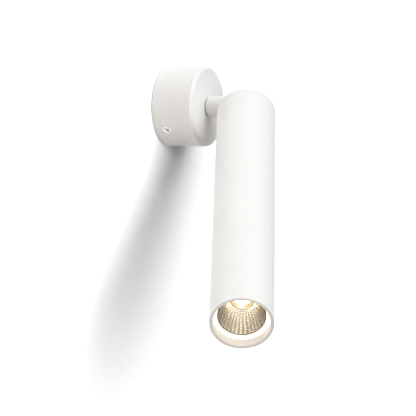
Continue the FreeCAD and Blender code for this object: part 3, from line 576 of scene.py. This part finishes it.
    # the start mesh is the shell's outline; its two ends, marked by y = 1, follow the facets' edges
    count = addNode(tree, "GeometryNodeAttributeDomainSize", links={0: given["Geometry"]})
    count = count.outputs["Point Count"]
    shell = addNode(tree, "GeometryNodeMeshGrid", {"Size Y": 0}, {
        "Size X": given["Columns"], "Vertices X": acrossCount, "Vertices Y": count})
    number = addNode(tree, "GeometryNodeInputIndex")
    level = addNode(tree, "ShaderNodeMath", links={0: number, 1: count}, operation="MODULO")
    outline = addNode(tree, "GeometryNodeSampleIndex", links={
        "Geometry": given["Geometry"], "Value": place, "Index": level}, data_type="FLOAT_VECTOR")
    outline = addNode(tree, "ShaderNodeSeparateXYZ", links={0: outline}).outputs
    shares = addNode(tree, "ShaderNodeMix", {2: 1}, {0: outline[1], 3: chord})
    shellOut = addNode(tree, "ShaderNodeMath", links={0: outline[0], 1: shares}, operation="MULTIPLY")
    shellFlat = addNode(tree, "ShaderNodeCombineXYZ", links={0: shellOut, 2: outline[2]})
    shellRound = addNode(tree, "ShaderNodeVectorRotate", links={"Vector": shellFlat, "Angle": angle},
                         rotation_type="Z_AXIS")
    turned = addNode(tree, "GeometryNodeSetPosition", links={"Geometry": shell, "Position": shellRound})
    bare = addNode(tree, "GeometryNodeStoreNamedAttribute", {"Name": "dullAndShade", "Value": 1.0},
                   {"Geometry": turned}, data_type="FLOAT", domain="POINT")

    whole = addNode(tree, "GeometryNodeJoinGeometry", links={0: facets})
    link(tree, bare, whole.inputs[0])
    welded = addNode(tree, "GeometryNodeMergeByDistance", {"Distance": weld}, {"Geometry": whole})
    endTree(tree, sharpen(tree, welded), given["Material"])
    return tree


def facetedReflector():
    v = bowl
    low, high = headBox("reflector")
    rimZ, baseZ = low.z, high.z
    lipZ, footZ = rimZ + v["rimThick"], baseZ - v["footHigh"]
    rimR, baseR, edge = high.x - v["rimSlack"], v["baseRadius"], v["round"]
    mouthR, footR = rimR - v["rimEdge"], baseR + v["footWall"]

    def outer(z):
        # the bowl's radius at this height, and its wall
        square = baseR ** 2 + (mouthR ** 2 - baseR ** 2) * (baseZ - z) / (baseZ - rimZ)
        return math.sqrt(square) + v["wall"]

    outline = [(mouthR, 1, rimZ), (rimR - edge, 0, rimZ), (rimR, 0, rimZ + edge), (rimR, 0, lipZ)]
    for i in range(v["shellSteps"] + 1):
        z = lipZ + (footZ - lipZ) * i / v["shellSteps"]
        outline.append((outer(z), 0, z))
    outline += [(footR, 0, footZ), (footR, 0, baseZ - edge), (footR - edge, 0, baseZ), (baseR, 1, baseZ)]
    start = makeMesh("bowlOutline", outline, [(i, i + 1) for i in range(len(outline) - 1)])
    values = {"Columns": v["columns"], "Rows": v["rows"], "Steps": v["steps"], "Base radius": baseR,
              "Mouth radius": mouthR, "Base height": baseZ, "Mouth height": rimZ, "Bulge": v["bulge"],
              "Across dull and shade": v["acrossDullAndShade"], "Along dull and shade": v["alongDullAndShade"], "Crease dull and shade": v["creaseDullAndShade"],
              "Material": materials["reflector_metal"]}
    piece = grow("facetedReflector", start, facetedBowlTree(), values, headPlace)
    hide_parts("reflector")
    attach(piece, "head")


facetedReflector()
print("reflector made")


screwForm = {
    "sides": 48,
    "seed": 7,
    "slope": 0.5,  # a cross at its floor, as a share of its size at the head's face
    "cross": {"length": 1.1, "width": 0.3, "depth": 0.6},  # a recess, in shares of the head's radius
    "hexagon": {"length": 0.79, "width": 0, "depth": 0.31},
    "hexagonSides": 6,
}


def screwTree():
    # a screw on each point of the start mesh, along the point's stored axis and turned by chance
    tree, given = newTree("setScrews", {
        "Head radius": "Float", "Head height": "Float", "Cone height": "Float", "Shank radius": "Float",
        "Length": "Float", "Recess length": "Float", "Recess width": "Float", "Recess depth": "Float",
        "Recess slope": "Float", "Hexagon": "Bool", "Sides": "Int", "Seed": "Int"})
    under, end, floor = [
        addNode(tree, "ShaderNodeMath", {1: -1}, {0: given[key]}, operation="MULTIPLY")
        for key in ("Head height", "Length", "Recess depth")]
    neck = addNode(tree, "ShaderNodeMath", links={0: under, 1: given["Cone height"]}, operation="SUBTRACT")
    shankLong = addNode(tree, "ShaderNodeMath", links={0: neck, 1: end}, operation="SUBTRACT")
    whole = addNode(tree, "GeometryNodeJoinGeometry")
    head, shank = given["Head radius"], given["Shank radius"]
    walls = [(head, head, given["Head height"], under), (shank, head, given["Cone height"], neck),
             (shank, shank, shankLong, end)]
    for bottom, top, depth, level in walls:
        wall = addNode(tree, "GeometryNodeMeshCone", links={
            "Vertices": given["Sides"], "Radius Top": top, "Radius Bottom": bottom, "Depth": depth},
            fill_type="NONE")
        lift = addNode(tree, "ShaderNodeCombineXYZ", links={2: level})
        placed = addNode(tree, "GeometryNodeTransform", links={"Geometry": wall, "Translation": lift})
        link(tree, placed, whole.inputs[0])
    face, foot = [
        addNode(tree, "GeometryNodeMeshCircle", links={"Vertices": given["Sides"], "Radius": radius},
                fill_type="NGON")
        for radius in (head, shank)]
    lift = addNode(tree, "ShaderNodeCombineXYZ", links={2: end})
    foot = addNode(tree, "GeometryNodeTransform", links={"Geometry": foot, "Translation": lift})
    foot = addNode(tree, "GeometryNodeFlipFaces", links={0: foot})
    link(tree, face, whole.inputs[0])
    link(tree, foot, whole.inputs[0])
    blank = addNode(tree, "GeometryNodeMergeByDistance", {"Distance": weld}, {"Geometry": whole})

    # two crossed blades that narrow downwards, or a six-sided pin, cut its recess
    deep = addNode(tree, "ShaderNodeMath", {1: 2}, {0: given["Recess depth"]}, operation="MULTIPLY")
    size = {0: given["Recess length"], 1: given["Recess width"], 2: deep}
    size = addNode(tree, "ShaderNodeCombineXYZ", links=size)
    blade = addNode(tree, "GeometryNodeMeshCube", links={"Size": size})
    spot = addNode(tree, "GeometryNodeInputPosition")
    high = addNode(tree, "ShaderNodeSeparateXYZ", links={0: spot}).outputs[2]
    wide = addNode(tree, "ShaderNodeMapRange", {"From Max": 0, "To Max": 1}, {
        "Value": high, "From Min": floor, "To Min": given["Recess slope"]}, clamp=False)
    wide = addNode(tree, "ShaderNodeCombineXYZ", {2: 1}, {0: wide, 1: wide})
    spot = addNode(tree, "ShaderNodeVectorMath", links={0: spot, 1: wide}, operation="MULTIPLY")
    blade = addNode(tree, "GeometryNodeSetPosition", links={"Geometry": blade, "Position": spot})
    across = addNode(tree, "GeometryNodeTransform", {"Rotation": (0, 0, math.pi / 2)}, {"Geometry": blade})
    cross = addNode(tree, "GeometryNodeJoinGeometry", links={0: blade})
    link(tree, across, cross.inputs[0])
    pinWide = addNode(tree, "ShaderNodeMath", {1: 0.5}, {0: given["Recess length"]}, operation="MULTIPLY")
    pin = addNode(tree, "GeometryNodeMeshCone", {"Vertices": screwForm["hexagonSides"]}, {
        "Radius Top": pinWide, "Radius Bottom": pinWide, "Depth": deep}, fill_type="NGON")
    drop = addNode(tree, "ShaderNodeCombineXYZ", links={2: floor})
    pin = addNode(tree, "GeometryNodeTransform", links={"Geometry": pin, "Translation": drop})
    cutter = addNode(tree, "GeometryNodeSwitch", links={
        "Switch": given["Hexagon"], "False": cross, "True": pin}, input_type="GEOMETRY")
    screw = addNode(tree, "GeometryNodeMeshBoolean", {"Self Intersection": True},
                    {"Mesh 1": blank, "Mesh 2": cutter}, operation="DIFFERENCE", solver="EXACT")

    axis = addNode(tree, "GeometryNodeInputNamedAttribute", {"Name": "axis"}, data_type="FLOAT_VECTOR")
    along = addNode(tree, "FunctionNodeAlignRotationToVector", links={"Vector": axis}, axis="Z")
    spin = addNode(tree, "FunctionNodeRandomValue", {"Max": (0, 0, math.pi)}, {"Seed": given["Seed"]},
                   data_type="FLOAT_VECTOR")
    many = addNode(tree, "GeometryNodeInstanceOnPoints", links={
        "Points": given["Geometry"], "Instance": sharpen(tree, screw), "Rotation": along})
    spun = addNode(tree, "GeometryNodeRotateInstances", links={"Instances": many, "Rotation": spin})
    endTree(tree, spun, given["Material"])
    return tree


setScrews = screwTree()


def screws(name, node, body, v, axes, reach, centre, place):
    # screws in place of a node's, along the axes, with each head's face at this reach from the centre
    start = makeMesh(name + "Points", [Vector(centre) + reach * Vector(axis) for axis in axes])
    axisData = start.attributes.new("axis", "FLOAT_VECTOR", "POINT").data
    axisData.foreach_set("vector", [c for axis in axes for c in axis])
    radius = v["headRadius"]
    values = {"Head radius": radius, "Head height": v["headHeight"], "Cone height": v["coneHeight"],
              "Shank radius": v["shankRadius"], "Length": v["length"], "Recess slope": screwForm["slope"],
              "Hexagon": v["recess"] == "hexagon", "Sides": screwForm["sides"], "Seed": screwForm["seed"],
              "Material": materials["screw_steel"]}
    values.update({"Recess " + key: share * radius for key, share in screwForm[v["recess"]].items()})
    piece = grow(name, start, setScrews, values, place)
    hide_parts(node)
    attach(piece, body)


canopyScrew = {
    "headRadius": 4 * mm,
    "headHeight": 0.2 * mm,
    "coneHeight": 2 * mm,
    "shankRadius": 2 * mm,
    "length": 8.629 * mm,
    "recess": "cross",
}
tubeScrew = {
    "headRadius": 2.8 * mm,
    "headHeight": 0.2 * mm,
    "coneHeight": 1.3 * mm,
    "shankRadius": 1.5 * mm,
    "length": 7 * mm,
    "recess": "cross",
}
pivotScrew = {
    "headRadius": 3.8 * mm,
    "headHeight": 1.2 * mm,
    "coneHeight": 0,
    "shankRadius": 2.5 * mm,
    "length": 5.882 * mm,
    "recess": "hexagon",
}


def allScrews():
    # up and down in the canopy's side, two at each level of the tube and one on each side of the knuckle
    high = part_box("canopy_screws")[1]
    screws("countersunkCanopyScrews", "canopy_screws", "root", canopyScrew, [(0, 0, 1), (0, 0, -1)],
           high.z, (0, high.y - canopyScrew["headRadius"], 0), Matrix.Identity(4))
    for name, node in (("countersunkCapScrews", "cap_screws"), ("countersunkSinkScrews", "sink_screws")):
        low, high = headBox(node)
        screws(name, node, "head", tubeScrew, [(1, 0, 0), (0, 1, 0)],
               high.x, (0, 0, low.z + tubeScrew["headRadius"]), headPlace)
    screws("socketPivotScrews", "pivot_screws", "head", pivotScrew, [(1, 0, 0), (-1, 0, 0)],
           headBox("pivot_screws")[1].x, (0, 0, 0), headPlace)


allScrews()
print("screws made")


room = {
    "wallGap": 0.3 * mm,
    "wallSize": 3.0,
    "seeThrough": 1.5 * mm,   # light from behind reaches what lies this close to the wall
    "wallTone": "#C3C3C3",
    "wallLift": "#7C828F",    # more of the wall's own light for the camera, so that it clips to white
    "wallGlow": (0, 0.2),     # its own glow for the camera, near the spotlight and where the wash falls off
    "floorDrop": 1.75,
    "floorSize": 9.0,
    "floorTone": "#A89D8E",   # a dull floor sends little light up, and its lift still shows it pale
    "floorLift": "#EBEBEB",
    "floorGlow": (0.6, 0.6),
    "glowFrom": (0.4, 0.8),   # how far from the middle of the canopy's back a glow starts to change, and ends
    "worldTone": "#FFFCF6",
    "worldLight": 0.16,
}


def onePlane(name, size, place, turn, material):
    half = size / 2
    corners = [(-half, -half, 0), (half, -half, 0), (half, half, 0), (-half, half, 0)]
    mesh = makeMesh(name, corners, [], [(0, 1, 2, 3)])
    mesh.transform(Matrix.Translation(place) @ Matrix.Rotation(turn, 4, "X"))
    mesh.materials.append(material)
    plane = bpy.data.objects.new(name, mesh)
    bpy.context.scene.collection.objects.link(plane)
    return plane


def toCamera(tree, rays):
    # 1 for light on its way to the camera, straight or by a mirror
    return addNode(tree, "ShaderNodeMath", links={0: rays["Is Camera Ray"], 1: rays["Is Glossy Ray"]},
                   operation="MAXIMUM")


def roomMaterial(name, tone, lift, glow, seeThrough):
    # matt emulsion: seen from behind it isn't there, and the camera gets its light raised
    material = bpy.data.materials.new(name)
    material.use_nodes = True
    tree = material.node_tree
    tree.nodes.clear()
    rays = addNode(tree, "ShaderNodeLightPath").outputs
    paint = addNode(tree, "ShaderNodeBsdfDiffuse", {"Color": linear(tone)})
    more = addNode(tree, "ShaderNodeBsdfDiffuse", {"Color": linear(lift)})
    place = addNode(tree, "ShaderNodeTexCoord").outputs["Object"]
    far = addNode(tree, "ShaderNodeVectorMath", links={0: place}, operation="LENGTH").outputs["Value"]
    strength = between(tree, far, *glow, *room["glowFrom"])
    haze = addNode(tree, "ShaderNodeEmission", links={"Strength": strength})
    more = addNode(tree, "ShaderNodeAddShader", links={0: more, 1: haze})
    bright = addNode(tree, "ShaderNodeAddShader", links={0: paint, 1: more})
    front = addNode(tree, "ShaderNodeMixShader", links={0: toCamera(tree, rays), 1: paint, 2: bright})
    back = addNode(tree, "ShaderNodeNewGeometry").outputs["Backfacing"]
    near = addNode(tree, "ShaderNodeMath", {1: seeThrough}, {0: rays["Ray Length"]}, operation="LESS_THAN")
    through = addNode(tree, "ShaderNodeMath", links={0: back, 1: near}, operation="MAXIMUM")
    clear = addNode(tree, "ShaderNodeBsdfTransparent")
    whole = addNode(tree, "ShaderNodeMixShader", links={0: through, 1: front, 2: clear})
    addNode(tree, "ShaderNodeOutputMaterial", links={"Surface": whole})
    return material


def softWorld():
    # a dim fill from all round, and white where the camera looks past the wall
    world = bpy.data.worlds.new("softRoom")
    bpy.context.scene.world = world
    world.use_nodes = True
    tree = world.node_tree
    tree.nodes.clear()
    seen = toCamera(tree, addNode(tree, "ShaderNodeLightPath").outputs)
    fill = {"Color": linear(room["worldTone"]), "Strength": room["worldLight"]}
    fill = addNode(tree, "ShaderNodeBackground", fill)
    white = addNode(tree, "ShaderNodeBackground", {"Color": linear("#FFFFFF"), "Strength": 1})
    sky = addNode(tree, "ShaderNodeMixShader", links={0: seen, 1: fill, 2: white})
    addNode(tree, "ShaderNodeOutputWorld", links={"Surface": sky})


emulsion = roomMaterial("wallEmulsion", room["wallTone"], room["wallLift"], room["wallGlow"],
                        room["seeThrough"])
wall = onePlane("wall", room["wallSize"], (0, room["wallGap"], 0), math.pi / 2, emulsion)
emulsion = roomMaterial("floorEmulsion", room["floorTone"], room["floorLift"], room["floorGlow"], 0)
onePlane("floor", room["floorSize"], (0, 0, -room["floorDrop"]), 0, emulsion)
softWorld()

lampDistance = 2.4  # of each lamp from the spotlight's middle
lights = {
    "key": {"toward": (-0.58, -1.00, -0.30), "size": 1.4, "power": 12.5, "tone": "#FDFEFF"},
    "front": {"toward": (-0.61, -0.97, 0.06), "size": 1.6, "power": 8.4, "tone": "#FFFFFF"},
    "top": {"toward": (-0.84, -0.73, 0.42), "size": 1.2, "power": 12, "tone": "#FFFFFF"},
    "spot": {"toward": (-0.84, -0.73, 0.42), "size": 0.5, "power": 2, "tone": "#FFFFFF"},
    "high": {"toward": (-0.60, -0.80, 0.75), "size": 1.2, "power": 16, "tone": "#FFFFFF"},
    "under": {"toward": (0.78, -0.25, -0.63), "size": 1.0, "power": 8, "tone": "#FFF4E8"},
    "wash": {"toward": (-0.60, -1.00, -0.45), "size": 1.8, "power": 84, "tone": "#FFFBF5"},
}


def setLights():
    # the wash lights the wall alone, so that it is white round the shadow
    onlyWall = bpy.data.collections.new("washed")
    onlyWall.objects.link(wall)
    for name, v in lights.items():
        lamp = bpy.data.lights.new(name, "AREA")
        lamp.shape = "DISK"
        lamp.size = v["size"]
        lamp.energy = v["power"]
        lamp.color = linear(v["tone"])[:3]
        holder = bpy.data.objects.new(name, lamp)
        away = Vector(v["toward"]).normalized()
        holder.location = (cadLow + cadHigh) / 2 + away * lampDistance
        holder.rotation_euler = away.to_track_quat("Z", "Y").to_euler()
        bpy.context.scene.collection.objects.link(holder)
        if name == "wash":
            holder.light_linking.receiver_collection = onlyWall


setLights()
print("room and lights set")


cameraLook = {
    "place": (-1.0883, -0.8818, -1.4663),
    "back": (-0.5759, -0.4189, -0.7020),
    "up": (-0.7796, 0.0230, 0.6259),
    "lens": 199.3,
    "sensor": 36,
}


def setCamera():
    v = cameraLook
    data = bpy.data.cameras.new("camera")
    data.lens = v["lens"]
    data.sensor_width = v["sensor"]
    camera = bpy.data.objects.new("camera", data)
    back = Vector(v["back"]).normalized()
    right = Vector(v["up"]).cross(back).normalized()
    turn = Matrix((right, back.cross(right), back)).transposed().to_4x4()
    camera.matrix_world = Matrix.Translation(v["place"]) @ turn
    bpy.context.scene.collection.objects.link(camera)
    bpy.context.scene.camera = camera


setCamera()
bpy.context.scene.view_settings.view_transform = "Standard"
print("camera set")
